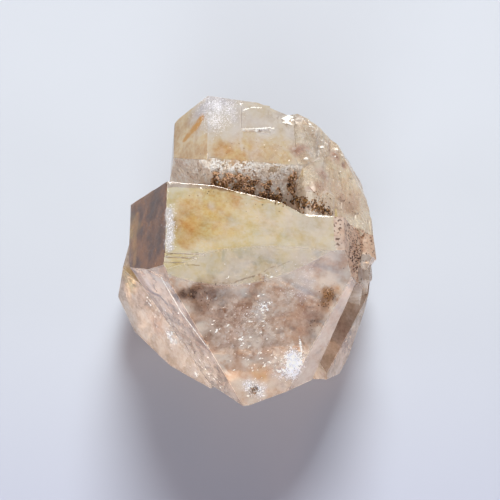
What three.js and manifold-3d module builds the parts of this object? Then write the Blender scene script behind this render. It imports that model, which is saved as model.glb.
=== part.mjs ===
// A stubby quartz specimen: crystals in parallel growth, lying on a prism face, with iron oxide in a crevice.
// Millimetres, +Z up. The c axis lies level, 15 mm above the resting face, and the main tip points to -Y.
//
// Every crystal is the space inside a list of faces, each given as [azimuth, tilt, distance]. Azimuth turns about
// the c axis from +X up to +Z, tilt is measured from the tip, and distance is from the crystal's centre.
// Prism faces have tilt 90, rhombohedral faces about 52, and the back of a crystal over 90.
import * as THREE from "three";
import { mergeVertices } from "three/addons/utils/BufferGeometryUtils.js";
import Module from "manifold-3d";

const wasm = await Module();
wasm.setup();

// ---- driving dimensions ----

const AXIS_HEIGHT = 15; // of the c axis above the resting face
const PRISM = 90;
const RHOMB = 52;
const BLANK = 120; // side of the block that every crystal is cut from

// The small crystals on the upper crystal's flank.
const SPROUT_ROWS = 9;
const SPROUT_COLUMNS = 8;
const SPROUT_RADIUS = 1.6;
const SPROUT_SUNK = 0.85; // of its radius, below the flank's faces
const SPROUT_PROUD = 0.3; // the most that one stands out of the flank's faces
const SPROUT_LEAN = 0.12; // radians
const FLANK_INSET = 0.6; // of the upper crystal's own faces, under the small ones
const FLANK_FROM = -15.5; // along the axis
const FLANK_TO = 1;
const FLANK_TURNS = [-38, 46]; // degrees about the axis

// The plate of later growth on the upper crystal's front face.
const PLATE_HEIGHT = 0.25;

// The scoop along the main crystal's front edge.
const SCOOP_RADIUS = 100;
const SCOOP_DEPTH = 0.72;
const SCOOP_LENGTH = 14;
const SCOOP_SIDES = 256;

// The growth steps at that edge's left end: where each ends along the axis, and how they shorten across.
const STEPS = [6.7, 7.2, 7.9];
const STEP_DEPTH = 0.13;
const STEP_END = -3.6;
const STEP_SHORTER = 0.9;

// The iron oxide in the crevice.
const GAP = 0.3; // between it and the quartz
const CRUST_THICKNESS = 0.2;
const CRUST_FROM = -4.2; // across
const CRUST_TO = 11.6;
const CREVICE_ALONG = -3.8; // where the main crystal's back edge meets the ledge
const CREVICE_SLANT = 0.1;
const GRAIN_RADIUS = 0.72;
const GRAIN_RISE = 0.6; // from row to row, up the ledge
const GRAINS_ALONG = 26;
const GRAINS_UP = 5;
const BRANCH_GRAINS = 8;
const BRANCH_ACROSS = 5.6;

const origin = new THREE.Vector3(0, 0, AXIS_HEIGHT);
const upright = new THREE.Euler(0, 0, 0);

function normalOf(azimuth, tilt) {
  const a = THREE.MathUtils.degToRad(azimuth);
  const t = THREE.MathUtils.degToRad(tilt);
  return new THREE.Vector3(Math.sin(t) * Math.cos(a), -Math.cos(t), Math.sin(t) * Math.sin(a));
}

// A point given across (+X), above the axis, and along it towards the tip.
function place(across, above, along) {
  return new THREE.Vector3(across, -along, AXIS_HEIGHT + above);
}

// A repeatable number from -1 to 1 for the nth of many small crystals or grains.
function scatter(n, channel) {
  const wave = Math.sin(n * 12.9898 + channel * 78.233) * 43758.5453;
  return 2 * (wave - Math.floor(wave)) - 1;
}

function solidOf(geometry) {
  const bare = geometry.clone();
  bare.deleteAttribute("normal");
  bare.deleteAttribute("uv");
  const merged = mergeVertices(bare, 1e-4);
  return new wasm.Manifold(
    new wasm.Mesh({
      numProp: 3,
      vertProperties: merged.attributes.position.array,
      triVerts: new Uint32Array(merged.index.array),
    }),
  );
}

function geometryOf(solid) {
  const mesh = solid.getMesh();
  const stride = mesh.numProp;
  const position = new Float32Array(mesh.numVert * 3);
  for (let i = 0; i < mesh.numVert; i++) {
    position.set(mesh.vertProperties.subarray(i * stride, i * stride + 3), i * 3);
  }
  const geometry = new THREE.BufferGeometry();
  geometry.setAttribute("position", new THREE.BufferAttribute(position, 3));
  geometry.setIndex(new THREE.BufferAttribute(mesh.triVerts, 1));
  geometry.computeVertexNormals();
  return geometry;
}

function crystal(centre, faces, lean, grown) {
  const blank = new THREE.BoxGeometry(BLANK, BLANK, BLANK).translate(centre.x, centre.y, centre.z);
  let solid = solidOf(blank);
  for (const [azimuth, tilt, distance] of faces) {
    const n = normalOf(azimuth, tilt).applyEuler(lean);
    solid = solid.trimByPlane([-n.x, -n.y, -n.z], -(n.dot(centre) + distance + grown));
  }
  return solid;
}

const habits = [];

// Notes a crystal of the cluster, so that it can be cut at its true size and again a little larger.
function grow(faces, centre = origin, lean = upright) {
  habits.push({ faces, centre, lean });
}

function cluster(grown) {
  let solid = null;
  for (const { faces, centre, lean } of habits) {
    const next = crystal(centre, faces, lean, grown);
    solid = solid ? solid.add(next) : next;
  }
  return solid;
}

// ---- the main crystal and its neighbours ----

const front = [85, PRISM, 12];
const rightPrism = [22, PRISM, 16.1];
const rightWall = [0, 82, 18.3];
const rightTip = [29, 48.5, 17.6];
const frontTip = [79, 53, 13.7];
const underRight = [346, 72, 14.4];
const underFront = [308, 33, 19.5];
const underside = [272, 48, 15.6];
const rest = [270, PRISM, AXIS_HEIGHT];

grow([
  front,
  [151, PRISM, 15.6],
  [182, PRISM, 16.2],
  [210, PRISM, 17.5],
  rest,
  rightPrism,
  rightWall,
  frontTip,
  [160, 60, 16.7],
  [174, 50, 15.2],
  [203, 64, 14],
  underside,
  underFront,
  underRight,
  rightTip,
  [68, 171, 5.1],
  [30, 164, 4.1],
  [11, 149, 4.7],
]);

// The shoulder carries the main front face on to the right.
grow([
  front,
  [180, PRISM, -7.2],
  rest,
  rightPrism,
  rightWall,
  frontTip,
  rightTip,
  underRight,
  underFront,
  underside,
  [60, 175, 1],
]);

// The upper crystal stands behind, ended by a ledge that slopes down to the crevice.
const ledge = [74, RHOMB, 4.9];
const flank = [
  [46, 94, 13.8],
  [20, 110, 17.5],
  [0, 95, 17.3],
  [335, 100, 18],
  [20, 140, 19],
  [20, 158, 18.2],
];
grow([
  [76, PRISM, 12],
  [143, PRISM, 12.5],
  [172, PRISM, 11.1],
  [200, 113, 12.9],
  [222, PRISM, 15],
  [270, PRISM, 14.2],
  ...flank.map(([azimuth, tilt, distance]) => [azimuth, tilt, distance - FLANK_INSET]),
  ledge,
  [165, RHOMB, 2.7],
  [0, 0, 4],
  [268, 177, 16.1],
  [200, 157, 17.7],
  [300, 155, 19],
  [215, 150, 19.5],
]);

// Below the crevice the crystals share one root.
grow([
  [85, PRISM, 4],
  [40, PRISM, 13],
  [0, PRISM, 16],
  [300, PRISM, 15],
  [270, PRISM, 13],
  [180, PRISM, 6],
  [0, 0, 6],
  [0, 180, 8],
]);

// Two lower crystals bulge out under the main one.
grow([
  [159, 53, 13.3],
  [173, 102, 16.4],
  [194, 68, 20.8],
  [205, 47, 19.5],
  [262, 44, 17.7],
  [290, 48, 16.6],
  [15, RHOMB, 6.5],
  [0, PRISM, 2],
  [109, PRISM, 3.2],
  [270, PRISM, 14.4],
  [220, PRISM, 20],
  [190, 160, 10],
]);
grow([
  [16, 69, 15.4],
  [348, 82, 18.6],
  [345, 72, 19.1],
  [330, 61, 20.6],
  [290, 29, 19.2],
  [240, 50, 12],
  [165, RHOMB, 2],
  [180, PRISM, 2],
  [61, PRISM, 3],
  [270, PRISM, 14.6],
  [320, PRISM, 19.5],
  [340, 160, 11],
]);

// A low plate of later growth stands on the upper crystal's front face.
grow(
  [
    [76, PRISM, PLATE_HEIGHT],
    [256, PRISM, 1],
    [166, PRISM, 1.9],
    [346, PRISM, 2.1],
    [74, RHOMB, 1.25],
    [0, 180, 2.3],
  ],
  place(1.1, 12.1, -14),
);

// How far a ray from a point beside the origin runs to the first of the faces.
function reach(faces, from, direction) {
  let nearest = Infinity;
  for (const [azimuth, tilt, distance] of faces) {
    const n = normalOf(azimuth, tilt);
    const speed = n.dot(direction);
    if (speed > 0) nearest = Math.min(nearest, (distance - n.dot(from)) / speed);
  }
  return nearest;
}

// Six prism faces and six faces at each end, none quite alike.
function smallCrystal(n, radius, behind) {
  const faces = [];
  for (let side = 0; side < 6; side++) {
    const azimuth = 25 + 60 * side + 8 * scatter(n, 1);
    const tip = radius * (1.2 + 0.25 * scatter(n, 9 + side));
    faces.push([azimuth, PRISM, radius * (1 + 0.15 * scatter(n, 2 + side))]);
    faces.push([azimuth, RHOMB, tip]);
    faces.push([azimuth, 180 - RHOMB, tip + behind]);
  }
  return faces;
}

function leanOf(n) {
  return new THREE.Euler(SPROUT_LEAN * scatter(n, 16), SPROUT_LEAN * scatter(n, 17), 0);
}

function sprout(n, centre, radius) {
  const faces = smallCrystal(n, radius, radius);
  const offset = centre.clone().sub(origin);
  for (const [azimuth, tilt, distance] of flank) {
    faces.push([azimuth, tilt, distance + SPROUT_PROUD - normalOf(azimuth, tilt).dot(offset)]);
  }
  grow(faces, centre, leanOf(n));
}

// They stand in rows all over the right flank, and give it a scalloped outline.
for (let row = 0; row < SPROUT_ROWS; row++) {
  for (let column = 0; column < SPROUT_COLUMNS; column++) {
    const n = row * SPROUT_COLUMNS + column;
    const level = (row + 0.3 * scatter(n, 18)) / (SPROUT_ROWS - 1);
    const step = (column + 0.5 * (row % 2) + 0.25 * scatter(n, 19)) / (SPROUT_COLUMNS - 0.5);
    const outward = normalOf(THREE.MathUtils.lerp(...FLANK_TURNS, step), PRISM);
    const from = new THREE.Vector3(0, -THREE.MathUtils.lerp(FLANK_FROM, FLANK_TO, level), 0);
    const radius = SPROUT_RADIUS * (1 + 0.25 * scatter(n, 20));
    const centre = from.addScaledVector(outward, reach(flank, from, outward) - SPROUT_SUNK * radius);
    sprout(n, centre.add(origin), radius);
  }
}

// Larger ones are grown into the back, [across, above, along, radius].
const backCrystals = [
  [-12.2, -9.6, -4.5, 3.2],
  [-9.4, -11, -8.6, 3],
  [-13.2, -4, -3.2, 2],
  [-4.5, -9.5, -13, 2.6],
  [2.5, -10, -13.2, 3.2],
  [9.5, -9, -11.5, 3],
  [12.4, -11, -6.5, 2.6],
];
backCrystals.forEach(([across, above, along, radius], k) => {
  grow(smallCrystal(300 + k, radius, -0.2 * radius), place(across, above, along), leanOf(300 + k));
});

let quartz = cluster(0);

// ---- what is cut away ----

// A shallow scoop runs along the edge between the front face and the face below it, widest in the middle.
const scoopOut = normalOf(81, 65);
const scoopAxis = new THREE.Vector3(1, 0, 0).cross(scoopOut).normalize();
const edgeMiddle = place(-1.2, 12.15, 7.25);
const scoopCentre = edgeMiddle.addScaledVector(scoopOut, SCOOP_RADIUS - SCOOP_DEPTH);
const scoop = new THREE.CylinderGeometry(SCOOP_RADIUS, SCOOP_RADIUS, SCOOP_LENGTH, SCOOP_SIDES);
scoop.applyQuaternion(new THREE.Quaternion().setFromUnitVectors(new THREE.Vector3(0, 1, 0), scoopAxis));
scoop.translate(scoopCentre.x, scoopCentre.y, scoopCentre.z);
quartz = quartz.subtract(solidOf(scoop));

// Growth steps nick the left end of that edge, each a little deeper and nearer the tip.
STEPS.forEach((along, k) => {
  const depth = STEP_DEPTH * (k + 1);
  const faces = [
    [265, PRISM, depth - front[2]],
    [0, 180, -along],
    [0, PRISM, STEP_END - STEP_SHORTER * k],
  ];
  quartz = quartz.subtract(crystal(origin, faces, upright, 0));
});

// ---- iron oxide in the crevice ----

const upLedge = new THREE.Vector3(0, 0.79, 0.61);

// The ledge's point at a distance across, and at a distance up from where the main crystal hides it.
function onLedge(across, up) {
  const along = CREVICE_ALONG + CREVICE_SLANT * across;
  const n = normalOf(ledge[0], ledge[1]);
  const above = (ledge[2] - n.x * across + n.y * along) / n.z;
  return place(across, above, along).addScaledVector(upLedge, up);
}

let crust = crystal(
  origin,
  [
    [ledge[0], ledge[1], ledge[2] + GAP + CRUST_THICKNESS],
    [ledge[0] + 180, 180 - ledge[1], 0.5 - ledge[2]],
    [180, PRISM, -CRUST_FROM],
    [0, PRISM, CRUST_TO],
    [63, 142, 9.6],
    [243, 38, -5],
  ],
  upright,
  0,
);

function addGrain(n, at) {
  const grain = new THREE.IcosahedronGeometry(GRAIN_RADIUS * (1 + 0.25 * scatter(n, 23)), 0);
  grain.rotateX(3 * scatter(n, 24));
  grain.rotateY(3 * scatter(n, 25));
  crust = crust.add(solidOf(grain.translate(at.x, at.y, at.z)));
}

for (let column = 0; column < GRAINS_ALONG; column++) {
  for (let row = 0; row < GRAINS_UP; row++) {
    const n = column * GRAINS_UP + row;
    const across = THREE.MathUtils.lerp(CRUST_FROM, CRUST_TO, (column + 0.4 * scatter(n, 21)) / GRAINS_ALONG);
    addGrain(n, onLedge(across, GRAIN_RISE * (row - 1 + 0.4 * scatter(n, 22))));
  }
}
// A branch of it climbs the ledge.
for (let k = 0; k < BRANCH_GRAINS; k++) {
  const across = BRANCH_ACROSS + 0.12 * k + 0.2 * scatter(k, 26);
  addGrain(200 + k, onLedge(across, 1.2 + 0.5 * k));
}
crust = crust.subtract(cluster(GAP));

// ---- the specimen, with its origin under the middle of its box ----

const specimen = new THREE.Group();

function piece(name, solid, material) {
  const mesh = new THREE.Mesh(geometryOf(solid), material);
  mesh.name = name;
  specimen.add(mesh);
}

const clearQuartz = new THREE.MeshStandardMaterial({ color: 0xe6dccb, roughness: 0.12, metalness: 0 });
const ochre = new THREE.MeshStandardMaterial({ color: 0x6e4a24, roughness: 0.95, metalness: 0 });
piece("quartz_crystal", quartz, clearQuartz);
piece("iron_oxide_crust", crust, ochre);

const box = new THREE.Box3().setFromObject(specimen);
const middle = box.getCenter(new THREE.Vector3());
specimen.position.set(-middle.x, -middle.y, -box.min.z);

export default specimen;
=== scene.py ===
"""A stubby, iron-stained quartz specimen: clear crystals in parallel growth, with iron oxide in a crevice.

Lengths are in millimetres in the crystal's own directions: across (+X), above the c axis (+Z), and along the
c axis towards the main tip (-Y). place() turns them into points of the frame, in metres.
"""
import math

import bmesh
import bpy
import numpy as np
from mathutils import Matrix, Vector, noise
from mathutils.bvhtree import BVHTree


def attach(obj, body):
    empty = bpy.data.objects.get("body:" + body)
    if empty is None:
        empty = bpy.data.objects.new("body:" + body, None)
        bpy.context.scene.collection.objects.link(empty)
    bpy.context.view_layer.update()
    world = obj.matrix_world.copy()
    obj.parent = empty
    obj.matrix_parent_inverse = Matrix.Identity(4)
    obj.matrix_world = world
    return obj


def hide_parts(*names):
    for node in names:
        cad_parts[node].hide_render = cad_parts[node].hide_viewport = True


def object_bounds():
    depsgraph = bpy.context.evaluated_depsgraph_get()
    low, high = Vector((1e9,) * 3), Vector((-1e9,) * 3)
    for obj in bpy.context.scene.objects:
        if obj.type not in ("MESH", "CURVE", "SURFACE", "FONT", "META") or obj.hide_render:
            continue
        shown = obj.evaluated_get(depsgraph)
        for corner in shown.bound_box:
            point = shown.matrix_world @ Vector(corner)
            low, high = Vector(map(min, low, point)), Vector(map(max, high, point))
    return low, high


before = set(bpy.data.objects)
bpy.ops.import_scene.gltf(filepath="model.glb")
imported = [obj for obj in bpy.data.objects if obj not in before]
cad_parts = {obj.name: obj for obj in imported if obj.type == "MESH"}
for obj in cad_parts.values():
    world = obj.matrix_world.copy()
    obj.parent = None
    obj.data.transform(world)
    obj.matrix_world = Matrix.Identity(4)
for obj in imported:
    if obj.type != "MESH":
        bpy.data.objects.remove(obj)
cad_low, cad_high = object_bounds()

MM = 0.001
AXIS_HEIGHT = 15  # of the c axis above the resting face
TIP_ALONG = 23.12  # from the crystals' common centre to the main tip, the lowest Y of the frame
LEFT_ACROSS = -18.67  # from it to the frame's lowest X

QUARTZ_IOR = 1.544
TRANSMISSION = 0.54  # the rest is scattered by its stains and veils
SEED = 7
rng = np.random.default_rng(SEED)
noise.seed_set(SEED)  # or noise_vector would bend the stains in another way on each run


def place(across, above, along):
    """A point of the frame from its distances to the crystals' centre."""
    return Vector((
        cad_low.x + (across - LEFT_ACROSS) * MM,
        cad_low.y + (TIP_ALONG - along) * MM,
        cad_low.z + (AXIS_HEIGHT + above) * MM,
    ))


def local(points):
    """The reverse of place(), for an array of points: across, above and along in millimetres."""
    points = np.asarray(points, float).reshape(-1, 3)
    return np.column_stack((
        (points[:, 0] - cad_low.x) / MM + LEFT_ACROSS,
        (points[:, 2] - cad_low.z) / MM - AXIS_HEIGHT,
        TIP_ALONG - (points[:, 1] - cad_low.y) / MM,
    ))


def face_normal(azimuth, tilt):
    """The outward normal of a crystal face, by its azimuth about the c axis and its tilt from the tip."""
    a, t = math.radians(azimuth), math.radians(tilt)
    return Vector((math.sin(t) * math.cos(a), -math.cos(t), math.sin(t) * math.sin(a)))


def srgb(red, green, blue):
    """A linear colour with alpha, from display values of 0 to 255."""
    def linear(c):
        return c / 255 / 12.92 if c < 11 else ((c / 255 + 0.055) / 1.055) ** 2.4

    return linear(red), linear(green), linear(blue), 1


def within_box(points):
    """Points held inside the CAD model's box."""
    return np.clip(points, np.array(cad_low), np.array(cad_high))


def unit(rows):
    """Each row with a length of one."""
    return rows / np.maximum(np.linalg.norm(rows, axis=1, keepdims=True), 1e-15)


def mark(mesh, name, domain, values):
    """A number for each face or point of a mesh, which its material reads."""
    layer = mesh.attributes.new(name, "FLOAT", domain)
    layer.data.foreach_set("value", np.asarray(values, np.float32))


# ---- materials ----

def new_material(name):
    material = bpy.data.materials.new(name)
    material.use_nodes = True
    return material, Nodes(material.node_tree)


class Nodes:
    """Short names for the nodes that the materials are built of."""

    def __init__(self, tree):
        self.tree = tree
        self.shader = tree.nodes["Principled BSDF"]
        self.output = tree.nodes["Material Output"]

    def add(self, kind, **values):
        node = self.tree.nodes.new(kind)
        for key, value in values.items():
            setattr(node, key, value)
        return node

    def link(self, source, target):
        self.tree.links.new(source, target)

    def feed(self, socket, value):
        if isinstance(value, bpy.types.NodeSocket):
            self.link(value, socket)
        else:
            socket.default_value = value

    def position(self):
        return self.add("ShaderNodeTexCoord").outputs["Object"]

    def attribute(self, name):
        return self.add("ShaderNodeAttribute", attribute_name=name).outputs["Fac"]

    def noise(self, size, detail=3.0, roughness=0.55, stretch=None):
        """A noise whose features are about size millimetres across."""
        node = self.add("ShaderNodeTexNoise")
        node.inputs["Scale"].default_value = 1 / (size * MM)
        node.inputs["Detail"].default_value = detail
        node.inputs["Roughness"].default_value = roughness
        vector = self.position()
        if stretch:
            mapping = self.add("ShaderNodeMapping")
            mapping.inputs["Scale"].default_value = stretch
            self.link(vector, mapping.inputs["Vector"])
            vector = mapping.outputs["Vector"]
        self.link(vector, node.inputs["Vector"])
        return node.outputs["Fac"]

    def ramp(self, value, low, high, to_low=0.0, to_high=1.0):
        node = self.add("ShaderNodeMapRange", interpolation_type="SMOOTHSTEP")
        self.feed(node.inputs["Value"], value)
        for key, number in (("From Min", low), ("From Max", high), ("To Min", to_low), ("To Max", to_high)):
            node.inputs[key].default_value = number
        return node.outputs["Result"]

    def maths(self, operation, a, b, clamp=False):
        node = self.add("ShaderNodeMath", operation=operation, use_clamp=clamp)
        self.feed(node.inputs[0], a)
        self.feed(node.inputs[1], b)
        return node.outputs[0]

    def mix(self, factor, a, b, blend="MIX"):
        node = self.add("ShaderNodeMix", data_type="RGBA", blend_type=blend)
        self.feed(node.inputs[0], factor)
        self.feed(node.inputs[6], a)
        self.feed(node.inputs[7], b)
        return node.outputs[2]

    def bump(self, height, strength, distance, normal=None):
        node = self.add("ShaderNodeBump")
        node.inputs["Strength"].default_value = strength
        node.inputs["Distance"].default_value = distance * MM
        self.link(height, node.inputs["Height"])
        if normal:
            self.link(normal, node.inputs["Normal"])
        return node.outputs["Normal"]

    def steps(self, value, colours):
        """The colour of a numbered zone, from a value of (number + 0.5) / count."""
        node = self.add("ShaderNodeValToRGB")
        node.color_ramp.interpolation = "CONSTANT"
        stops = node.color_ramp.elements
        for k, colour in enumerate(colours):
            stop = stops[k] if k < 2 else stops.new(k / len(colours))
            stop.position = k / len(colours)
            stop.color = colour
        self.link(value, node.inputs[0])
        return node.outputs[0]

    def vector(self, operation, a, b):
        node = self.add("ShaderNodeVectorMath", operation=operation)
        self.feed(node.inputs[0], a)
        self.feed(node.inputs[1], b)
        return node.outputs["Value" if operation in ("DOT_PRODUCT", "DISTANCE") else "Vector"]

    def wavering(self, size, reach):
        """The position with a wander of up to reach millimetres, for lines and patches with natural edges."""
        node = self.add("ShaderNodeTexNoise")
        node.inputs["Scale"].default_value = 1 / (size * MM)
        node.inputs["Detail"].default_value = 3
        self.link(self.position(), node.inputs["Vector"])
        centred = self.vector("SUBTRACT", node.outputs["Color"], (0.5, 0.5, 0.5))
        shift = self.vector("MULTIPLY", centred, (2 * reach * MM,) * 3)
        return self.vector("ADD", self.position(), shift)

    def cells(self, size, where):
        """A random value for each of the small facets of a crack, which are about size millimetres across."""
        node = self.add("ShaderNodeTexVoronoi")
        node.inputs["Scale"].default_value = 1 / (size * MM)
        self.link(where, node.inputs["Vector"])
        return node.outputs["Color"]

    def depth(self, where):
        """How far a place is behind the frame's origin, in millimetres."""
        parts = self.add("ShaderNodeSeparateXYZ")
        self.link(where, parts.inputs[0])
        return self.maths("DIVIDE", parts.outputs[1], MM)

    def stroke(self, where, width, strength, points):
        """The strength on a line through some places of the crystal, and 0 beyond its width."""
        nearest = None
        for start, end in zip(points, points[1:]):
            a, b = place(*start), place(*end)
            offset = self.vector("SUBTRACT", where, a)
            along = self.vector("DOT_PRODUCT", offset, b - a)
            share = self.maths("DIVIDE", along, (b - a).length_squared, clamp=True)
            spread = self.add("ShaderNodeCombineXYZ")
            for socket in spread.inputs:
                self.link(share, socket)
            foot = self.vector("MULTIPLY", spread.outputs[0], b - a)
            far = self.vector("DISTANCE", offset, foot)
            nearest = far if nearest is None else self.maths("MINIMUM", nearest, far)
        return self.ramp(nearest, 0.35 * width * MM, width * MM, strength, 0.0)


SHADOW_TINT = srgb(172, 144, 116)  # of lamp light, at each face that it passes
ABSORPTION_COLOUR = srgb(225, 211, 194)
ABSORPTION_DENSITY = 16  # per metre

# The crystal's faces, by how they look: the two colours that mottle them, how frosted and how speckled.
# Their colours also hold painted light and shade, each face set as light or dark as it looks.
ZONES = {
    "plain": (srgb(224, 216, 208), srgb(190, 175, 163), 0.05, 0.0),
    "front": (srgb(255, 250, 222), srgb(240, 226, 172), 0.0, 0.0),
    "scoop": (srgb(255, 250, 230), srgb(244, 236, 198), 0.0, 0.0),
    "lower_front": (srgb(255, 250, 242), srgb(212, 178, 156), 0.0, 0.0),
    # the left face's dark brown is partly stain, partly painted shade
    "left": (srgb(150, 94, 38), srgb(74, 40, 14), 0.12, 0.0),
    "lower_left": (srgb(224, 211, 203), srgb(166, 144, 133), 0.0, 0.0),
    "far_left": (srgb(224, 206, 192), srgb(172, 148, 132), 0.05, 0.0),
    "speckled": (srgb(240, 212, 190), srgb(216, 178, 154), 0.6, 1.0),
    "lower_right": (srgb(255, 246, 242), srgb(236, 220, 212), 0.0, 0.0),
    "far_right": (srgb(162, 132, 114), srgb(122, 94, 78), 0.0, 0.1),
    "upper_front": (srgb(252, 250, 246), srgb(244, 234, 212), 0.0, 0.0),
    "upper_left": (srgb(255, 236, 196), srgb(226, 196, 152), 0.0, 0.0),
    "ledge": (srgb(255, 246, 234), srgb(236, 216, 198), 0.8, 0.4),
    "flank": (srgb(252, 244, 224), srgb(230, 212, 188), 0.2, 0.12),
    "back": (srgb(230, 223, 214), srgb(200, 186, 174), 0.4, 0.08),
    "base": (srgb(230, 220, 208), srgb(198, 182, 168), 0.25, 0.06),
}
# The two colours of each of the STAINS, which lie in patches on the faces. The white is partly painted sheen
# and highlight.
STAIN_COLOURS = {
    "gold": (srgb(242, 216, 144), srgb(226, 184, 110)),
    "orange": (srgb(222, 170, 98), srgb(206, 142, 72)),
    # smoke, umber and mauve: partly stain, partly painted shade showing through the faces
    "smoke_and_shade": (srgb(122, 94, 76), srgb(80, 56, 46)),
    "umber": (srgb(104, 64, 30), srgb(66, 38, 16)),
    "mauve": (srgb(190, 158, 146), srgb(146, 110, 94)),
    "pink": (srgb(206, 156, 138), srgb(172, 118, 102)),
    "white": (srgb(250, 250, 252), srgb(228, 228, 238)),
}
# Lines on the faces: edges of growth steps, healed cracks and streaks, some of them painted highlights and
# shade. Each has a colour, a width in millimetres, a strength and its course.
LINES = [
    # painted highlights along the step edges of the upper crystal
    (srgb(252, 252, 255), 0.16, 0.9, [(-0.6, 12.8, -15), (0.7, 12.6, -15.7), (2, 12.3, -15.9)]),
    (srgb(252, 252, 255), 0.15, 0.9, [(-0.5, 12.6, -12), (1.8, 12.2, -12.4), (3.8, 11.4, -13)]),
    (srgb(252, 250, 246), 0.25, 0.5, [(-0.8, 12.7, -15.2), (-0.8, 12.6, -8.9)]),
    (srgb(240, 176, 78), 0.95, 1.0, [(-6.2, 12.4, -13.8), (-7.2, 11.2, -13.1)]),
    (srgb(232, 174, 84), 0.6, 0.95, [(-7.2, 11.2, -13.1), (-8.7, 9.3, -12.4)]),
    (srgb(232, 186, 136), 0.2, 0.8, [(-1.9, 12.2, -2.1), (-0.1, 12.1, -1.8)]),
    (srgb(240, 208, 160), 0.16, 0.6, [(0.6, 12, -1.6), (4.4, 11.6, -1)]),
    # iron stain along the crest, partly painted shade in the crevice there
    (srgb(150, 110, 70), 0.5, 0.8, [
        (-4.4, 12.4, -3.2), (-0.9, 12.1, -2.9), (1.7, 12, -2.2), (4.4, 11.7, -1.6), (7.6, 11.3, -0.9)]),
    # a painted reflection along the left edge of the front face
    (srgb(255, 255, 255), 0.8, 1.0, [(-10.2, 12.9, 0.5), (-10.1, 12.8, 6)]),
    (srgb(160, 142, 92), 0.14, 0.75, [(-10.5, 12.8, 7), (-8.6, 12.8, 6.6), (-6.6, 12.7, 6.5)]),
    (srgb(168, 148, 96), 0.14, 0.7, [(-10.4, 12.6, 7.8), (-9, 12.5, 8.1), (-6, 12, 8.1)]),
    (srgb(246, 226, 178), 0.24, 0.7, [(-10.2, 12.7, 7.4), (-8, 12.6, 7.3)]),
    (srgb(182, 134, 66), 0.9, 0.75, [(-15.2, 4.8, -3), (-15.4, 4.5, 0.6), (-15.3, 4.6, 4.1)]),
    (srgb(122, 98, 84), 0.16, 0.7, [
        (-4.6, 10.7, 10.2), (-2.2, 10.4, 9.9), (0.4, 10.3, 9.1), (1.8, 10.3, 8.6)]),
    (srgb(150, 124, 104), 0.12, 0.5, [(1.8, 10.3, 8.5), (4, 10.6, 7.4), (6.4, 10.7, 6.6)]),
    (srgb(112, 88, 102), 0.36, 0.75, [
        (-15.7, 3.2, 4.6), (-14.8, 3.7, 5.6), (-13.8, 2.5, 7), (-12.8, 3.3, 8.1), (-11.6, 4.7, 9.3),
        (-10.7, 4.6, 10.3)]),
    # a painted highlight along the worn edge of the lower faces
    (srgb(252, 246, 238), 0.34, 0.95, [
        (-11.2, 10.2, 8.9), (-8.6, 6.9, 12.6), (-5.4, 5.3, 16.6), (-2.3, 2.7, 19.8)]),
    # a painted highlight on a step near the tip, with painted shade beside it
    (srgb(252, 252, 255), 0.22, 0.95, [(7, 4.6, 15.2), (7.3, 3.3, 16.7), (7.1, 2.3, 18.1)]),
    (srgb(96, 70, 58), 0.14, 0.8, [(7.5, 4, 15.7), (7.7, 3, 17)]),
    # painted highlights at the tip
    (srgb(246, 248, 255), 1.5, 0.85, [(6.1, 3.2, 17.5), (6.4, 1.8, 18.8)]),
    (srgb(252, 252, 252), 1.3, 0.7, [(0.2, 1.6, 20.8), (1.8, 0.9, 21.4)]),
    (srgb(214, 158, 128), 0.9, 0.7, [(3.6, 2.2, 19.2), (4.8, 2.2, 18.9)]),
    (srgb(152, 106, 52), 0.75, 0.85, [(0.8, 1.1, 21.2), (1.2, 0.9, 21.3)]),
    (srgb(178, 128, 76), 1.2, 0.8, [(10.6, 7.8, 10), (10.9, 7.5, 10.2)]),
    (srgb(176, 136, 104), 0.9, 0.6, [(10.4, 6.4, 11.9), (10.5, 7.2, 10.8)]),
    (srgb(170, 132, 92), 0.7, 0.6, [
        (7.6, 10.6, -2), (9.2, 10.6, -1.2), (10.4, 9.6, -1.2), (11.4, 8.6, -1.3)]),
]


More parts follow.
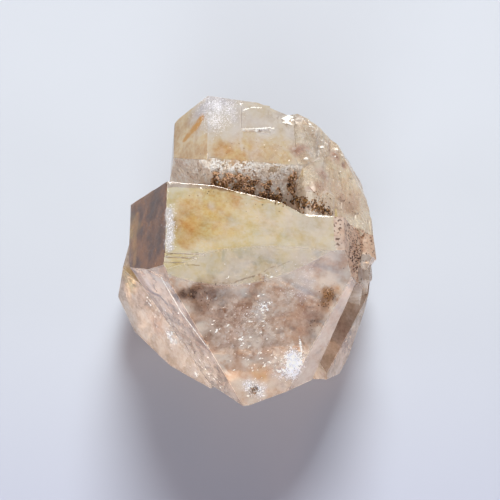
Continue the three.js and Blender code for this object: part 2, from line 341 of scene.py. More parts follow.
def quartz_colour(n):
    """Its colour, with the values of the facets in its cracks and where they glitter, painted as sparkle and
    shade.
    """
    zone = n.attribute("zone")
    light = n.steps(zone, [look[0] for look in ZONES.values()])
    deep = n.steps(zone, [look[1] for look in ZONES.values()])
    blotches = n.ramp(n.noise(2.6, detail=6, roughness=0.62), 0.38, 0.64)
    where = n.wavering(1.5, 0.5)
    stained = n.attribute("stained")
    plain = n.mix(blotches, *ZONES["plain"][:2])
    colour = n.mix(stained, plain, n.mix(blotches, light, deep))
    for k, (stain, (thin, thick)) in enumerate(STAIN_COLOURS.items()):
        mottle = n.ramp(n.noise(1.2 + 0.3 * k, detail=6, roughness=0.6), 0.4, 0.62)
        veil = n.ramp(n.noise(1.8 + 0.2 * k, detail=5), 0.3, 0.55, 0.45, 1.0)
        colour = n.mix(n.maths("MULTIPLY", n.attribute(stain), veil), colour, n.mix(mottle, thin, thick))
    shade = n.ramp(n.noise(0.55, detail=4, roughness=0.65), 0.35, 0.65)
    colour = n.mix(0.42, colour, n.mix(shade, srgb(112, 96, 84), srgb(252, 248, 242)), "SOFT_LIGHT")
    broken = n.ramp(n.noise(1.1, detail=3), 0.3, 0.5, 0.35, 1.0)
    for tone, width, strength, course in LINES:
        colour = n.mix(n.maths("MULTIPLY", n.stroke(where, width, strength, course), broken), colour, tone)
    glitter = n.attribute("glitter")
    # Painted sparkle and shade: each small facet of a crack is painted lighter or darker, a few near white
    # like glints.
    for size, amount in ((1.0, 0.28), (0.42, 0.34)):
        facet = n.cells(size, n.wavering(0.8, 0.3))
        tone = n.mix(n.ramp(facet, 0.2, 0.75), srgb(128, 104, 88), srgb(255, 250, 244))
        colour = n.mix(n.maths("MULTIPLY", glitter, amount), colour, tone)
        bright = n.maths("MULTIPLY", n.ramp(facet, 0.76, 0.82), n.ramp(n.noise(0.9, detail=3), 0.42, 0.6))
        colour = n.mix(n.maths("MULTIPLY", glitter, bright), colour, srgb(254, 253, 250))
    # a pale worn rim along the outer edges, partly a painted edge highlight
    edge = n.ramp(n.attribute("rim"), 0.7, 0.96)
    rim = n.maths("MULTIPLY", edge, n.ramp(n.noise(1.4, detail=3), 0.35, 0.6, 0.0, 0.4))
    colour = n.mix(rim, colour, srgb(246, 240, 232))
    speck = n.ramp(n.noise(0.4, detail=2), 0.565, 0.61)
    speck = n.maths("MULTIPLY", speck, n.maths("MULTIPLY", n.attribute("speckle"), stained))
    return n.mix(speck, colour, srgb(98, 62, 42)), facet, glitter


def quartz_material():
    """Glassy faces, frosted breaks and worn edges.

    Cycles can hold only so many values of one material at a time, and draws a material past that black
    without an error, so this one shares its noises and reads what it can from attributes.
    """
    material, n = new_material("quartz")
    colour, facet, glitter = quartz_colour(n)
    n.link(colour, n.shader.inputs["Base Color"])

    frost = n.attribute("frost")
    smudges = n.ramp(n.noise(4, detail=4), 0.45, 0.75, 0.0, 0.1)
    uneven = n.ramp(n.noise(0.7, detail=3), 0.2, 0.8, 0.35, 0.75)
    rough = n.maths("ADD", n.maths("MULTIPLY", frost, uneven), smudges)
    worn = n.ramp(n.attribute("rim"), 0.3, 1.0, 0.04, 0.45)
    n.link(n.maths("ADD", rough, worn, clamp=True), n.shader.inputs["Roughness"])

    waves = n.noise(2.2, detail=3, stretch=(0.25, 1.0, 0.25))
    relief = n.bump(waves, 0.3, 0.05)
    grit = n.maths("MULTIPLY", n.noise(0.35, detail=4), frost)
    relief = n.bump(grit, 0.5, 0.14, relief)
    chips = n.maths("MULTIPLY", facet, glitter)
    relief = n.bump(chips, 0.5, 0.1, relief)
    n.link(relief, n.shader.inputs["Normal"])

    n.shader.inputs["Transmission Weight"].default_value = TRANSMISSION
    n.shader.inputs["IOR"].default_value = QUARTZ_IOR
    let_lamps_in(n, SHADOW_TINT)
    absorb(n, ABSORPTION_COLOUR, ABSORPTION_DENSITY)
    return material


def let_lamps_in(n, tint):
    """Lamps reach what is inside and below a clear piece, instead of leaving it in its own hard shadow."""
    clear = n.add("ShaderNodeBsdfTransparent")
    clear.inputs["Color"].default_value = tint
    mixer = n.add("ShaderNodeMixShader")
    n.link(n.add("ShaderNodeLightPath").outputs["Is Shadow Ray"], mixer.inputs[0])
    n.link(n.shader.outputs[0], mixer.inputs[1])
    n.link(clear.outputs[0], mixer.inputs[2])
    n.link(mixer.outputs[0], n.output.inputs["Surface"])


def absorb(n, colour, density):
    """The piece's inside takes up light, more of it the further the light goes."""
    volume = n.add("ShaderNodeVolumeAbsorption")
    volume.inputs["Color"].default_value = colour
    volume.inputs["Density"].default_value = density
    n.link(volume.outputs[0], n.output.inputs["Volume"])


def flake_material(name, light, deep, rough=0.6):
    """The look of scales: two colours in blotches, and a roughness about the one given."""
    material, n = new_material(name)
    colour = n.mix(n.ramp(n.noise(0.8, detail=4), 0.35, 0.65), light, deep)
    n.link(colour, n.shader.inputs["Base Color"])
    n.link(n.ramp(n.noise(0.3), 0.3, 0.7, rough - 0.15, rough + 0.15), n.shader.inputs["Roughness"])
    return material


def oxide_material():
    """Each grain has its own tone, from nearly black through ochre to a pinkish tan."""
    material, n = new_material("iron_oxide")
    tone = n.attribute("tone")
    colour = n.mix(n.ramp(tone, 0.30, 0.42), srgb(38, 24, 18), srgb(98, 62, 30))
    colour = n.mix(n.ramp(tone, 0.48, 0.60), colour, srgb(160, 116, 54))
    colour = n.mix(n.ramp(tone, 0.68, 0.76), colour, srgb(226, 188, 158))
    colour = n.mix(n.ramp(n.noise(0.25, detail=3), 0.4, 0.7, 0.0, 0.35), colour, srgb(60, 38, 26))
    n.link(colour, n.shader.inputs["Base Color"])
    n.link(n.ramp(n.noise(0.3), 0.3, 0.7, 0.7, 0.98), n.shader.inputs["Roughness"])
    n.link(n.bump(n.noise(0.12, detail=3), 0.8, 0.05), n.shader.inputs["Normal"])
    return material


# ---- the crystal's surface ----

EDGE_LENGTH = 0.62  # the longest edge of the refined mesh
MOST_ROUNDS = 10  # of halving edges
CREASE = math.radians(9)  # faces that meet at more than this have an edge between them
WEAR = 0.07  # how far an edge is worn back
GROWTH_WAVES = 0.012  # height of the faint waves on every face
BREAK_RELIEF, BREAK_DEPTH = 0.16, 0.04  # height of the roughest breaks, and how far they lie back
DULLNESS = 2  # of a face, for how frosted it is
# the pale rim is partly worn edge, partly a painted edge highlight
RIM_BELOW = 0.3  # faces less frosted than this have a pale rim
PLAIN_BELOW, STAINED_ABOVE = -3.5, 4.5  # heights above the c axis: the lower parts are plainer
STAIN_WANDER, STAIN_REACH = 2.4, 1.6  # size of the bends in a stain's edge, and how far they go
UPPER_CRYSTAL_FRONT = -8  # along: the upper crystal lies behind this
STAINS = {
    # Each patch is its centre, its radius and how strong it is.
    "gold": [
        ((-5, 12.6, 1), 4.5, 0.7), ((-1, 12.6, -8), 3.6, 0.8), ((4, 11.8, -8), 3.2, 0.7),
        ((-16.3, -3.2, 3), 2.2, 0.7), ((-14.8, 8, -6), 2, 0.6), ((-16, 3, -1), 2.2, 0.6),
        ((13, 6, -9), 3, 0.3),
    ],
    "orange": [
        ((-8, 12.7, 3.2), 2.3, 0.8), ((-8.4, 12.8, 0.4), 1.5, 0.5), ((-1.5, 12.2, -1.4), 1.2, 0.4),
        ((-3.4, 13, -8.3), 1.5, 0.5), ((2, 2.3, 19.2), 1.4, 0.9), ((1.9, 10.1, 9.4), 0.9, 0.8),
        ((-15.8, 4, 2), 1.4, 0.6), ((-0.6, 11.2, -5.8), 1.6, 0.6), ((11.6, 8, 9.6), 0.9, 0.9),
        ((0.8, 0.8, 21.6), 0.6, 0.9),
    ],
    # partly smoky stain, partly painted shade
    "smoke_and_shade": [
        ((-8.8, 10.4, 11.4), 1.3, 1.0), ((-6.5, 9.9, 11.4), 1.8, 0.9), ((-3.8, 9.6, 11), 1.7, 0.7),
        ((0.5, 9, 10.6), 1.3, 0.45), ((9, 5.6, 14), 1.4, 0.7), ((8, 4.5, 15.6), 1.0, 0.8),
        ((-5.6, 5.6, 15.8), 0.9, 0.6), ((10.6, 7.2, 10.8), 0.7, 0.8),
    ],
    "umber": [((-12.2, 9.8, -3.4), 2.8, 0.9), ((-11.4, 11.4, 2), 2, 0.8), ((-13, 8.6, 2.4), 1.8, 0.5)],
    "mauve": [
        ((-3, 8.5, 12.5), 3.2, 0.9), ((4, 7.8, 11.4), 3.4, 0.25), ((-3.5, 6, 15.5), 2.4, 0.8),
        ((8.5, 6, 13.2), 2.4, 0.8), ((2.5, 4.5, 16.8), 2.2, 0.6), ((-12, 0, 9.5), 2.6, 0.6),
        ((-9, -1, 13.4), 2, 0.5), ((13.6, -5, 12), 3, 0.6), ((-14.6, -4, 5.6), 2, 0.5),
    ],
    "pink": [
        ((7.4, 10.8, -9.8), 1.0, 1.0), ((12.3, 6.9, -11.4), 1.2, 1.0), ((13.9, 5.2, -10.7), 1.0, 0.9),
        ((10.4, 9, -7), 1.2, 0.8), ((0, 10.5, -5.5), 5, 0.2), ((14, 6, -5), 3, 0.4),
        ((-12.6, -5, 9), 1.8, 0.6), ((9.6, 10.2, -4.6), 1.4, 0.6),
    ],
    # partly milky veil, partly painted sheen and highlights where faces catch the light, and painted light on
    # dim faces
    "white": [
        ((-4.4, 13.4, -15.4), 4.2, 1.0), ((5, 1.9, 19), 2.1, 1.0), ((1.2, 1.5, 20.8), 1.3, 0.9),
        ((-1.6, 12.8, -12.4), 2, 0.5), ((9.6, 9.8, 6.4), 3.8, 0.6), ((10, 10.8, 1.5), 4, 0.5),
        ((4, 11.4, 5), 2.6, 0.4), ((4.6, 11.7, 1.4), 2.8, 0.55), ((0.5, 12.4, -13.5), 3.2, 0.4),
        ((-4, 12.4, 0.4), 0.8, 0.7), ((-1.8, 12.2, 2.6), 1.0, 0.7), ((2.6, 10.1, 9), 0.8, 0.8),
        ((2.3, 8, 12.3), 1.2, 0.7), ((-10.7, -4.7, 11.2), 1.2, 1.0), ((-7.1, -6, 16.2), 0.9, 1.0),
        ((-13.4, 4.6, 7), 1.5, 0.6), ((7.6, 0.8, 18.4), 1.6, 0.6), ((-6, 12.5, -1.6), 0.8, 0.5),
        ((8, 8.8, 9.2), 1.6, 0.6), ((-1.5, 10.8, 8), 2.6, 0.4),
    ],
    # Where the facets of cracks show, painted with sparkle and shade.
    "glitter": [
        ((0, 6.5, 14), 6, 0.8), ((5, 2.4, 18.4), 3.6, 1.0), ((-9, -1.5, 13), 6, 0.9),
        ((-4, -2, 18.5), 3.5, 0.9), ((-13, -5, 8), 4, 0.5), ((2, 10.6, 8), 3, 0.5), ((10, 2, 14), 4, 0.4),
        ((9.8, 9.4, -11.5), 3.6, 1.0), ((6, 11, -15), 2.6, 1.0), ((10.8, 8.4, -8), 2.6, 0.7),
        ((3.4, 10.6, -6.4), 3.4, 0.5),
    ],
}


def triangles_of(node):
    """The corners and triangles of a CAD node, with equal corners joined."""
    bm = bmesh.new()
    bm.from_mesh(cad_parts[node].data)
    bmesh.ops.remove_doubles(bm, verts=bm.verts, dist=0.002 * MM)
    bmesh.ops.triangulate(bm, faces=bm.faces)
    points = np.array([v.co for v in bm.verts])
    triangles = np.array([[v.index for v in f.verts] for f in bm.faces])
    bm.free()
    return points, triangles


def edges_of(triangles):
    """The edges of the mesh, and which of them each triangle has, in the order of its corners."""
    pairs = np.stack((triangles, np.roll(triangles, -1, axis=1)), axis=2).reshape(-1, 2)
    edges, edge_of = np.unique(np.sort(pairs, axis=1), axis=0, return_inverse=True)
    return edges, edge_of.reshape(-1, 3)


def turned(rows, shift):
    """Each row of three turned by its own shift."""
    return np.take_along_axis(rows, (np.arange(3) + shift[:, None]) % 3, axis=1)


def halve_edges(points, triangles, length):
    """Every edge longer than length is halved, and its triangles are split in two, three or four."""
    edges, edge_of = edges_of(triangles)
    long = np.linalg.norm(points[edges[:, 0]] - points[edges[:, 1]], axis=1) > length
    halves = points[edges[long]].mean(axis=1)
    middle = np.where(long, len(points) + np.cumsum(long) - 1, -1)[edge_of]
    split = middle >= 0
    count = split.sum(axis=1)
    made = [triangles[count == 0]]

    one = count == 1
    shift = np.argmax(split[one], axis=1)
    (a, b, c), (ab, _, _) = turned(triangles[one], shift).T, turned(middle[one], shift).T
    made += [np.column_stack(t) for t in ((a, ab, c), (ab, b, c))]

    two = count == 2
    shift = (np.argmin(split[two], axis=1) + 1) % 3
    (a, b, c), (ab, bc, _) = turned(triangles[two], shift).T, turned(middle[two], shift).T
    made += [np.column_stack(t) for t in ((ab, b, bc), (a, ab, bc), (a, bc, c))]

    (a, b, c), (ab, bc, ca) = triangles[count == 3].T, middle[count == 3].T
    made += [np.column_stack(t) for t in ((a, ab, ca), (ab, b, bc), (ca, bc, c), (ab, bc, ca))]
    return np.vstack((points, halves)), np.vstack(made), int(long.sum())


def refined(node, length):
    """The triangles of a CAD node, cut up until no edge is longer than length."""
    points, triangles = triangles_of(node)
    for _ in range(MOST_ROUNDS):
        points, triangles, count = halve_edges(points, triangles, length)
        if count == 0:
            break
    return points, triangles


def zone_of(normal, middle):
    """Which of the ZONES a flat face belongs to, from the way it faces and where it lies."""
    across, above, along = middle
    azimuth = math.degrees(math.atan2(normal.z, normal.x))
    tilt = math.degrees(math.acos(max(-1.0, min(1.0, -normal.y))))

    def faces(toward, reach, lean, slack):
        """True for an azimuth within reach of toward and a tilt within slack of lean, in degrees."""
        return abs(azimuth - toward) < reach and abs(tilt - lean) < slack

    past_shoulder = across > 11.6 + 0.18 * max(0.0, along - 4)
    if past_shoulder and above > 2 and -1 < along < 8 and 15 < azimuth < 90 and tilt > 60:
        return "speckled"
    if faces(76, 3, 90, 3) and along < -2 and across < 9.5:
        return "upper_front"
    if faces(85, 4, 90, 3) and along > -3:
        return "front"
    if faces(143, 4, 90, 3) and along < -6:
        return "upper_left"
    if (faces(74, 4, 52, 4) or faces(165, 4, 52, 4)) and along < 1:
        return "ledge"
    if faces(79, 5, 53, 5) and along > 3:
        return "lower_front"
    if faces(81, 10, 76, 14) and along > 1:
        return "scoop"
    if abs(azimuth) > 140 and 70 < tilt < 108 and across < -9 and above > -5 and along > -8:
        return "left"
    if faces(159, 3, 53, 2) and above < -1:
        return "far_left"
    if faces(166, 14, 54, 10) and along > 1:
        return "lower_left"
    if faces(28, 8, 49, 6) and along > 2:
        return "lower_right"
    if along > 2 and across > 8 and abs(azimuth) < 40 and tilt < 80:
        return "far_right"
    if normal.y > 0.35:
        return "back"
    if normal.z < -0.3:
        return "base"
    if across > 6 and along < 1.5 and above > -12:
        return "flank"
    return "plain"


def stain_amount(points, patches):
    """How stained each point is, from patches that fade out at their edges."""
    amount = np.zeros(len(points))
    for centre, radius, strength in patches:
        far = np.linalg.norm(points - np.array(centre), axis=1) / radius
        amount = np.maximum(amount, strength * np.clip(1.25 - far, 0, 1) ** 0.7)
    return amount


def wander(points, size, reach):
    """Points shifted by a smooth noise, all in millimetres."""
    shift = [noise.noise_vector(Vector(p) / size) for p in points]
    return points + reach * np.array(shift)


def normals_of(points, triangles):
    """The normal of each triangle, and of each point."""
    corners = points[triangles]
    across = np.cross(corners[:, 1] - corners[:, 0], corners[:, 2] - corners[:, 0])
    at_points = np.zeros_like(points)
    for k in range(3):
        np.add.at(at_points, triangles[:, k], across)
    return unit(across), unit(at_points)


def creases_of(points, triangles, normals):
    """The edges between faces at an angle, and for each point 1 on an outer edge and -1 in a groove."""
    edges, edge_of = edges_of(triangles)
    order = np.argsort(edge_of.ravel(), kind="stable")
    shared = np.bincount(edge_of.ravel())
    starts = np.cumsum(shared) - shared
    whole = shared == 2
    first, second = order[starts[whole]] // 3, order[starts[whole] + 1] // 3
    bent = (normals[first] * normals[second]).sum(axis=1) < math.cos(CREASE)
    middles = points[triangles].mean(axis=1)
    outer = ((middles[second] - middles[first]) * normals[first]).sum(axis=1) < 0
    sharp = edges[whole][bent]
    side = np.zeros(len(points))
    side[sharp.ravel()] = np.repeat(np.where(outer[bent], 1.0, -1.0), 2)
    return sharp, side


def quartz_crystal():
    """The crystals' own solid with worn edges, rough breaks and the stains marked on it."""
    points, triangles = refined("quartz_crystal", EDGE_LENGTH * MM)
    normals, upright = normals_of(points, triangles)
    sharp, side = creases_of(points, triangles, normals)
    middles = local(points[triangles].mean(axis=1))
    names = list(ZONES)
    zones = np.array([names.index(zone_of(Vector(n), m)) for n, m in zip(normals, middles)])
    kinds = np.array([look[2:] for look in ZONES.values()])[zones]
    calm = np.ones(len(points))  # the least frosted face at each point, so that flat faces stay flat
    for k in range(3):
        np.minimum.at(calm, triangles[:, k], kinds[:, 0])
    moved = []
    for point, normal, frost, edge in zip(points, upright, calm, side):
        p = Vector(point) / MM
        height = GROWTH_WAVES * noise.noise(Vector((p.x * 0.35, p.y * 1.5, p.z * 0.35)))
        if frost > 0:
            height += frost * (BREAK_RELIEF * noise.fractal(p * 0.7, 1.0, 2.1, 4) - BREAK_DEPTH)
        if edge:
            height -= edge * WEAR * (0.55 + 0.45 * noise.noise(p * 0.9))
        moved.append(point + normal * height * MM)

    mesh = bpy.data.meshes.new("clear_quartz")
    mesh.from_pydata(within_box(np.array(moved)).tolist(), [], triangles.tolist())
    mesh.shade_smooth()
    keys = {tuple(e.vertices): e.index for e in mesh.edges}
    hard = np.zeros(len(mesh.edges), bool)
    for pair in sharp.tolist():
        hard[keys.get(tuple(pair), keys.get(tuple(pair[::-1])))] = True
    mesh.attributes.new("sharp_edge", "BOOLEAN", "EDGE").data.foreach_set("value", hard)
    mark(mesh, "zone", "FACE", (zones + 0.5) / len(ZONES))
    mark(mesh, "frost", "FACE", np.minimum(DULLNESS * kinds[:, 0], 1))
    mark(mesh, "speckle", "FACE", kinds[:, 1])
    places = wander(local(points), STAIN_WANDER, STAIN_REACH)
    for stain, patches in STAINS.items():
        mark(mesh, stain, "POINT", stain_amount(places, patches))
    share = np.clip((places[:, 1] - PLAIN_BELOW) / (STAINED_ABOVE - PLAIN_BELOW), 0, 1)
    mark(mesh, "stained", "POINT", share * share * (3 - 2 * share))
    in_front = local(points)[:, 2] > UPPER_CRYSTAL_FRONT  # the upper crystal's edges are sharp and clear
    mark(mesh, "rim", "POINT", (side > 0) & (calm < RIM_BELOW) & in_front)
    mesh.materials.append(quartz_material())
    add_piece("clear_quartz", mesh, "quartz", "quartz_crystal")


def add_piece(name, mesh, slot, *replaced):
    """A mesh as a piece of the part, in place of the CAD nodes that it replaces."""
    piece = bpy.data.objects.new(name, mesh)
    bpy.context.scene.collection.objects.link(piece)
    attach(piece, "root")
    if replaced:
        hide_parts(*replaced)


# ---- scales inside the crystal and on its surface ----

solid = BVHTree.FromPolygons(
    [v.co.copy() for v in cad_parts["quartz_crystal"].data.vertices],
    [tuple(p.vertices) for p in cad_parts["quartz_crystal"].data.polygons],
)
SKIN = 0.3  # the least depth of anything inside
LIFT = 0.01  # how far the scales on the surface stand off it
UP = (0, 0, 1)
SKYWARD = (0.05, 0.25, 0.95)  # the way that bright scales face
BELOW_FRONT, BELOW_LEFT, RIGHT_UP = (0.1, -0.65, 0.75), (-0.78, -0.58, 0.2), (0.3, 0.35, 0.88)


def inside(point):
    """True where the point is at least SKIN deep in the quartz."""
    near, normal, _, distance = solid.find_nearest(point)
    return distance > SKIN * MM and (near - point).dot(normal) > 0


def flakes(name, sites, ways, sizes, material, length=1.0, heading=(0, 0, 0)):
    """Thin four-cornered scales, one at each site and facing its way, joined in one mesh."""
    side = unit(np.cross(ways, np.array(heading) + rng.normal(size=ways.shape)))
    up = np.cross(ways, side)
    corners = []
    for turn in (0, 1, 2, 3):
        angle = math.tau * (turn + rng.uniform(-0.3, 0.3, len(sites))) / 4
        reach = sizes * rng.uniform(0.5, 1.0, len(sites)) * MM
        wide, long = np.cos(angle) * reach, np.sin(angle) * reach * length
        corners.append(sites + side * wide[:, None] + up * long[:, None])
    corners = within_box(np.stack(corners, axis=1)).reshape(-1, 3)
    mesh = bpy.data.meshes.new(name)
    mesh.from_pydata(corners.tolist(), [], np.arange(len(corners)).reshape(-1, 4).tolist())
    mesh.materials.append(material)
    add_piece(name, mesh, "quartz")


def cloud(name, patches, sizes, material, way, jitter=0.6, clump=0.45):
    """Scales in patches inside the quartz.

    Each patch has a centre, its radii across, above and along, and a number.
    """
    sites = []
    for centre, radii, count in patches:
        ball = rng.normal(size=(count, 3))
        ball *= (rng.uniform(size=count) ** 0.45 / np.linalg.norm(ball, axis=1))[:, None]
        for point, chance in zip(np.array(centre) + ball * np.array(radii), rng.uniform(size=count)):
            if noise.noise(Vector(point) * clump + Vector((3, 1, 7))) < 0.7 * chance - 0.3:
                continue
            site = place(*point)
            if inside(site):
                sites.append(site)
    sites = np.array(sites)
    ways = unit(np.array(way) + jitter * rng.normal(size=sites.shape))
    flakes(name, sites, ways, rng.uniform(*sizes, len(sites)), material)


def inner_stains(white):
    """Films and clouds of limonite, smoky and mauve stain under the faces, the smoky and mauve partly painted
    shade, and white scales as painted glints of cracks.
    """
    front, below, left = face_normal(85, 90), face_normal(79, 53), face_normal(151, 90)
    limonite = flake_material("limonite", srgb(244, 224, 160), srgb(226, 176, 100))
    smoke_and_shade = flake_material("smoke_and_shade", srgb(150, 98, 50), srgb(76, 42, 18))
    mauve = flake_material("mauve", srgb(222, 188, 168), srgb(170, 124, 98))
    cloud("limonite_film", [
        ((-6, 10.9, 1.5), (5, 1.3, 5), 11000),
        ((1, 10.2, 0.5), (7, 1.3, 4), 9000),
        ((8, 9.4, 1), (6, 1.3, 4), 3000),
        ((-2, 11.4, -9), (5, 1.2, 2), 3600),
        ((4, 10.4, -9.5), (5, 1.2, 2), 2600),
    ], (0.05, 0.16), limonite, front)
    # brown scales behind the left face: partly smoky stain, partly painted shade
    cloud("smoky_sheet_and_shade", [
        ((-11, 6.5, -1), (3, 4, 6), 12000),
        ((-8, 8.6, 10.2), (1.8, 0.8, 1.4), 1800),
        ((-5, 8.6, 10.4), (2.6, 0.8, 1.2), 1600),
        ((-1, 8, 10), (3, 0.7, 0.9), 900),
    ], (0.05, 0.17), smoke_and_shade, left, jitter=0.8, clump=0.8)
    # mauve scales under the lower faces: partly stain, partly painted shade
    cloud("mauve_cloud_and_shade", [
        ((-2, 6, 10.5), (6, 2, 3), 3200),
        ((5, 4.6, 10.5), (5, 2, 3), 2600),
        ((0, 3.2, 15), (4, 1.5, 3), 2200),
        ((-10, -3, 7), (4, 3, 4), 1600),
        ((12, -4, 8), (3, 4, 4), 1600),
    ], (0.05, 0.16), mauve, below, jitter=0.9, clump=0.7)
    # white scales facing the lamps: painted glints of the cracks
    cloud("crack_glints", [
        ((0, 6.4, 13), (7, 1.6, 3.4), 620),
        ((2, 2.8, 16.8), (4.4, 1.3, 3.2), 520),
        ((5, 1.4, 18.8), (1.8, 0.8, 1.6), 380),
        ((0.8, 0.6, 20.8), (1.4, 0.6, 1.2), 160),
        ((-2, 9.6, 8.4), (6, 0.9, 1.6), 130),
        ((5, 10, 5), (6, 0.8, 2), 90),
    ], (0.06, 0.24), white, SKYWARD, jitter=0.3)
    cloud("left_glints", [
        ((-10, -1, 11), (3, 3, 4), 700),
        ((-6, -2, 15.5), (3, 2, 3), 420),
        ((-14, -5, 5), (2.4, 3, 3), 160),
    ], (0.06, 0.24), white, SKYWARD, jitter=0.3)


# Bright white flecks at the surface, where it is chipped, in patches and along lines: painted glints of the
# chips, and painted highlights along step edges. A patch has its centre, its radius, the way out of the
# crystal there, a number and the largest size. A line has its course, the way out and a size.
FLECK_PATCHES = [
    ((0, 7, 13), 6, BELOW_FRONT, 100, 0.18), ((2, 3, 17.5), 4, BELOW_FRONT, 110, 0.2),
    ((6.2, 2.6, 18), 1.2, BELOW_FRONT, 60, 0.3), ((4, 2.4, 18.4), 2.4, BELOW_FRONT, 50, 0.24),
    ((1, 1.2, 21), 0.9, BELOW_FRONT, 30, 0.24),
    ((2.3, 8, 12.3), 0.9, BELOW_FRONT, 12, 0.3), ((-0.9, 5.6, 15.7), 0.6, BELOW_FRONT, 8, 0.24),
    ((-4, 6.8, 15), 0.7, BELOW_FRONT, 10, 0.22), ((2.7, 10.1, 8.7), 0.5, BELOW_FRONT, 8, 0.24),
    ((-10, -2, 12), 5, BELOW_LEFT, 130, 0.16), ((-10.7, -4.7, 11.2), 1.1, BELOW_LEFT, 24, 0.36),
    ((-7.1, -6, 16.2), 0.5, BELOW_LEFT, 8, 0.4), ((-5, -2, 18), 2.4, BELOW_LEFT, 40, 0.2),
    ((-13.6, -3.1, 6.8), 0.7, BELOW_LEFT, 8, 0.26), ((-1.5, 10.8, 8.4), 2.6, (0.1, -0.3, 0.95), 12, 0.16),
    ((4, 10.6, -7), 4, UP, 26, 0.14), ((11.5, 7, -12), 2.6, RIGHT_UP, 24, 0.22),
    ((7.5, 10.6, -14.6), 1.6, RIGHT_UP, 24, 0.2),
]
FLECK_LINES = [
    ([(-0.6, 12.8, -15), (0.7, 12.6, -15.7), (2, 12.3, -15.8)], UP, 0.13),
    ([(-0.5, 12.6, -12.1), (1.8, 12.2, -12.5), (3.8, 11.4, -13)], UP, 0.13),
    ([(7, 4.6, 15.2), (7.3, 3.3, 16.7), (7.1, 2.3, 18.1)], BELOW_FRONT, 0.15),
    ([(-11.2, 10.2, 8.9), (-8.6, 6.9, 12.6), (-5.4, 5.3, 16.6)], (-0.3, -0.5, 0.8), 0.1),
]
# Painted sheen and highlights: fine white scales like dust on faces that catch the light, and a row of them
# along the left edge of the front.
PAINTED_SHEEN_PATCHES = [
    ((-3.7, 13, -15.4), 2.4, UP, 7500, 0.075), ((-4.3, 12.8, -13), 1.7, UP, 1200, 0.07),
    ((6.1, 3.3, 17.4), 1, BELOW_FRONT, 480, 0.13), ((6.4, 2.4, 18.2), 1.1, BELOW_FRONT, 640, 0.14),
    ((6, 1.6, 19), 1, BELOW_FRONT, 480, 0.13), ((4.6, 2, 19), 1.2, BELOW_FRONT, 200, 0.12),
    ((0.2, 1.7, 20.8), 1, BELOW_FRONT, 170, 0.12), ((1.6, 1, 21.3), 1, BELOW_FRONT, 190, 0.12),
    ((6.5, 8.6, 9), 3, BELOW_FRONT, 900, 0.07), ((0.5, 6.4, 14), 3, BELOW_FRONT, 700, 0.07),
    ((2.4, 8, 12.3), 0.9, BELOW_FRONT, 90, 0.12), ((-10.7, -4.7, 11.2), 1.2, BELOW_LEFT, 160, 0.12),
    *(((-10.1, 12.8, 0.4 + 0.5 * k), 0.7, UP, 45, 0.1) for k in range(12)),
]
# Larger white facets on breaks, painted glints, placed in the same way.
GLINT_PATCHES = [
    ((5.8, 11, -15.1), 0.9, RIGHT_UP, 8, 1.5), ((9, 10, -13.8), 0.8, RIGHT_UP, 7, 1.2),
    ((10.6, 8.5, -11.6), 0.6, RIGHT_UP, 5, 0.9), ((8.1, 10.3, -8.6), 0.4, RIGHT_UP, 3, 0.6),
    ((6.2, 2.4, 18.1), 1.1, BELOW_FRONT, 8, 1.0), ((2.4, 8, 12.3), 0.6, BELOW_FRONT, 4, 0.7),
    ((-10.7, -4.7, 11.2), 0.7, BELOW_LEFT, 4, 0.9), ((-7.1, -6, 16.2), 0.5, BELOW_LEFT, 3, 0.7),
]


def under(point, outward, start, reach):
    """Where the quartz lies under a point, and its normal there, or None twice.

    The ray starts that far outside the point and reaches that far in, both in millimetres.
    """
    met, normal, _, _ = solid.ray_cast(point + outward * start * MM, -outward, reach * MM)
    return met, normal


def flecks(name, patches, lines, material, length, heading):
    """Small white scales on the surface that lie nearly along it: chips, and painted glints."""
    aims, ways, sizes = [], [], []
    for centre, radius, outward, count, largest in patches:
        for _ in range(count):
            aim = Vector(centre) + Vector(rng.normal(size=3)) * radius * 0.5
            if radius < 2 or noise.noise(aim * 0.8) > rng.uniform(-0.25, 0.25):
                aims.append(place(*aim))
                ways.append(outward)
                sizes.append(largest * rng.uniform(0.3, 1.0) ** 2)
    for course, outward, size in lines:
        for start, end in zip(course, course[1:]):
            a, b = place(*start), place(*end)
            count = int((b - a).length / (0.5 * size * MM))
            aims += [a.lerp(b, share) for share in rng.uniform(size=count)]
            ways += [outward] * count
            sizes += list(size * rng.uniform(0.6, 1.0, count))
    sites, facing, kept = [], [], []
    for aim, way, size in zip(aims, ways, sizes):
        out = Vector(way).normalized()
        point, normal = under(aim, out, start=6, reach=16)
        if point is None:
            continue
        sites.append(point + normal * LIFT * MM)
        facing.append(normal * 0.6 + out * 0.5 + Vector(rng.normal(size=3)) * 0.12)
        kept.append(size)
    flakes(name, np.array(sites), unit(np.array(facing)), np.array(kept), material, length, heading)


def surface_chips(white):
    """Chips, dust and larger facets on the surface, all of them white: painted glints and painted sheen."""
    flecks("white_flecks", FLECK_PATCHES, FLECK_LINES, white, length=1.9, heading=(2.2, 0.9, 0))
    # white scales of painted sheen
    sheen_dust = flake_material("sheen_dust", srgb(250, 250, 255), srgb(240, 242, 252), rough=0.7)
    flecks("painted_sheen_dust", PAINTED_SHEEN_PATCHES, [], sheen_dust, length=1.0, heading=(0, 0, 0))
    flecks("bright_facets", GLINT_PATCHES, [], white, length=0.6, heading=(0, 3, 0.6))


def scattered(corners, count):
    """Points spread evenly over some triangles, and which triangle each is on."""
    areas = np.linalg.norm(np.cross(corners[:, 1] - corners[:, 0], corners[:, 2] - corners[:, 0]), axis=1)
    picked = rng.choice(len(areas), count, p=areas / areas.sum())
    weights = rng.dirichlet((1, 1, 1), count)
    return np.einsum("ij,ijk->ik", weights, corners[picked]), picked


